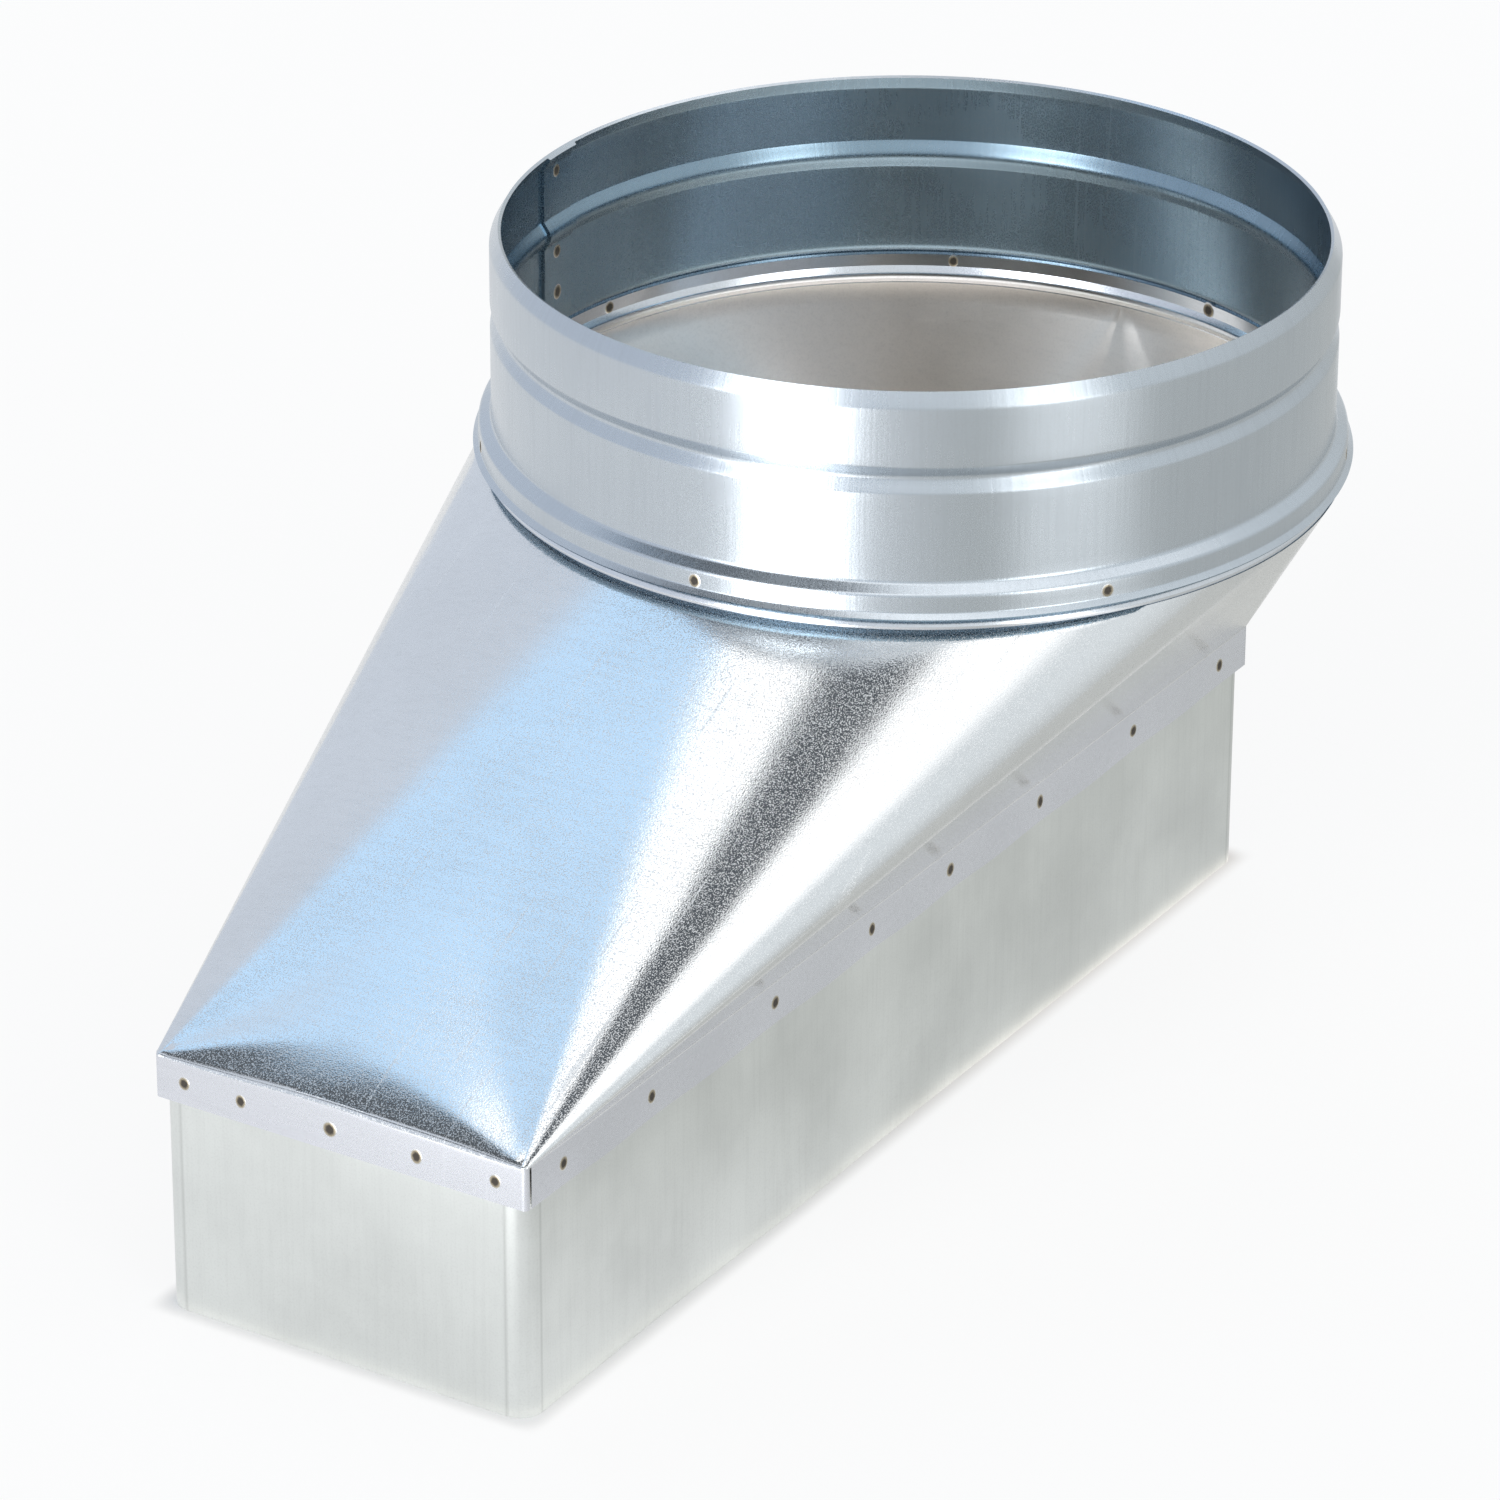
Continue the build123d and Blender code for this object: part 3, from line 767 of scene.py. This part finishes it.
def weld_marks(name, places, material, seed):
    """One small round mark at each place, a point and the level way that it faces, as rings of points.

    A ring's height over the sheet follows two bell curves of its radius: a crest at 0.7 mm and a low hump
    at the middle, so that the mark is a shallow dimple. Its edge sinks back. Each mark has its own size and
    width, and a crest that is higher on one side.
    """
    crest_height = 0.06 * mm
    hump_height = 0.02 * mm
    edge_drop = 0.03 * mm
    off_sheet = 0.012 * mm
    pick = np.random.default_rng(seed)
    middle = np.array([place[0] for place in places])
    faced = np.radians([place[1] for place in places])
    outward = np.column_stack((np.cos(faced), np.sin(faced), np.zeros(len(places))))
    sideways = np.column_stack((-np.sin(faced), np.cos(faced), np.zeros(len(places))))
    radius = np.array([0.0, 0.15, 0.3, 0.42, 0.52, 0.6, 0.68, 0.76, 0.86, 0.98, 1.1]) * mm
    turned = np.linspace(0.0, 2 * np.pi, 28, endpoint=False)
    size = pick.uniform(1.0, 1.2, len(places))[:, None, None]
    squash = pick.uniform(0.75, 1.0, len(places))[:, None, None]
    high_side = pick.uniform(0.0, 2 * np.pi, len(places))[:, None, None]
    ring = radius[None, :, None] * size
    across_mark = ring * np.cos(turned)[None, None] * squash
    up_mark = ring * np.sin(turned)[None, None]
    crest = crest_height * np.exp(-(((radius - 0.7 * mm) / (0.16 * mm)) ** 2))
    crest = crest + hump_height * np.exp(-((radius / (0.2 * mm)) ** 2)) + off_sheet
    crest = crest - edge_drop * np.clip((radius - 0.95 * mm) / (0.2 * mm), 0.0, 1.0)
    crest = crest[None, :, None] * (1 + 0.3 * np.cos(turned[None, None] - high_side))
    points = middle[:, None, None] + across_mark[..., None] * sideways[:, None, None]
    points = points + up_mark[..., None] * upward + crest[..., None] * outward[:, None, None]
    marks, rings, turns = crest.shape
    counts = (np.arange(marks), np.arange(rings - 1), np.arange(turns))
    mark, ring_index, turn = np.meshgrid(*counts, indexing="ij")
    after = (turn + 1) % turns
    start = (mark * rings + ring_index) * turns
    faces = np.stack((start + turn, start + turns + turn, start + turns + after, start + after), axis=-1)
    mesh = bpy.data.meshes.new(name)
    mesh.from_pydata(points.reshape(-1, 3), [], faces.reshape(-1, 4).tolist())
    scorching = np.clip(1.6 - radius / (0.60 * mm), 0.0, 1.0)[None, :, None] + np.zeros(crest.shape)
    tone = mesh.attributes.new("scorched", "FLOAT", "POINT")
    tone.data.foreach_set("value", scorching.reshape(-1).astype(np.float32))
    work = bmesh.new()
    work.from_mesh(mesh)
    bmesh.ops.remove_doubles(work, verts=work.verts, dist=2e-7)
    work.to_mesh(mesh)
    work.free()
    mesh.polygons.foreach_set("use_smooth", np.ones(len(mesh.polygons), bool))
    mesh.materials.append(material)
    piece = bpy.data.objects.new(name, mesh)
    bpy.context.scene.collection.objects.link(piece)
    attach(piece, "root")
    return piece


scorched_steel = bpy.data.materials.new("scorched_steel")
scorched_steel.use_nodes = True
mark_tree = scorched_steel.node_tree
mark_tree.nodes.clear()
scorch = add(mark_tree, "ShaderNodeAttribute", attribute_name="scorched").outputs["Fac"]
on_mark = add(mark_tree, "ShaderNodeTexCoord").outputs["Object"]
soot = {"Vector": on_mark, "Scale": 2600.0, "Detail": 2.0}
soot = add(mark_tree, "ShaderNodeTexNoise", soot).outputs["Fac"]
burnt = ease(mark_tree, calc(mark_tree, "ADD", scorch, calc(mark_tree, "MULTIPLY", soot, 0.6)), 0.35, 1.15)
heat = ease(mark_tree, scorch, 0.0, 0.25)
bare_zinc = (0.76, 0.77, 0.78, 1.0)
straw_brown = (0.52, 0.45, 0.33, 1.0)
burnt_brown = (0.055, 0.045, 0.035, 1.0)
mark_colour = blend_colour(mark_tree, heat, bare_zinc, straw_brown)
mark_colour = blend_colour(mark_tree, burnt, mark_colour, burnt_brown)
mark_rough = calc(mark_tree, "ADD", 0.25, calc(mark_tree, "MULTIPLY", burnt, 0.45))
mark_metal = calc(mark_tree, "SUBTRACT", 1.0, calc(mark_tree, "MULTIPLY", burnt, 0.9))
pitted = add(mark_tree, "ShaderNodeBump", {"Height": soot, "Distance": 0.04 * mm, "Strength": 1.0})
mark_finish = {"Base Color": mark_colour, "Metallic": mark_metal, "Roughness": mark_rough}
mark_finish["Normal"] = pitted.outputs[0]
mark_zinc = add(mark_tree, "ShaderNodeBsdfPrincipled", mark_finish)
add(mark_tree, "ShaderNodeOutputMaterial", {"Surface": mark_zinc.outputs[0]})

# The tabs' welds show outside on the tabs, and inside on the sleeve, where they face the other way
on_tabs = (fold_half_long, fold_half_short, 0.0)
in_sleeve = (half_long - sheet, half_short - sheet, 180.0)
tab_places = []
for wall_x, wall_y, turn_back in (on_tabs, in_sleeve):
    tab_places += [((-wall_x, -along, weld_z), (180.0 + turn_back) % 360.0) for along in short_welds]
    tab_places += [((wall_x, -along, weld_z), turn_back) for along in short_welds]
    tab_places += [((along, -wall_y, weld_z), (270.0 + turn_back) % 360.0) for along in long_welds]
    tab_places += [((along, wall_y, weld_z), 90.0 + turn_back) for along in long_welds]
tab_marks = weld_marks("tab_weld_marks", tab_places, scorched_steel, 3)
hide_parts("flange_welds")


def ring_place(radius, angle, level, inside):
    """A point on the spigot's wall at an angle about its axis, and the way that the mark there faces."""
    turned = np.radians(angle)
    point = (ring_x + radius * np.cos(turned), radius * np.sin(turned), level)
    return (point, angle + 180.0 if inside else angle)


belt_angles = (25.0, 78.0, 130.0, 182.0, 236.0, 292.0, 345.0)
belt_z = 84.7 * mm
belt_outside = [ring_place(belt_radius, angle, belt_z, False) for angle in belt_angles]
belt_inside = [ring_place(belt_radius - 2 * sheet, angle, belt_z, True) for angle in belt_angles]
belt_marks = weld_marks("belt_weld_marks", belt_outside + belt_inside, scorched_steel, 5)
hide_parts("collar_welds")
spigot_levels = np.array((112.4, 99.4, 92.8)) * mm
sleeve_levels = np.array((8.25, 16.5, 24.75)) * mm
seam_places = [ring_place(tube_radius, seam_angle, up, False) for up in spigot_levels]
seam_places += [ring_place(tube_radius - 2 * sheet, seam_angle, up, True) for up in spigot_levels]
seam_places += [((0.0, half_short, up), 90.0) for up in sleeve_levels]
seam_places += [((0.0, half_short - 2 * sheet, up), 270.0) for up in sleeve_levels]
seam_marks = weld_marks("seam_weld_marks", seam_places, scorched_steel, 7)
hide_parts("seam_welds")
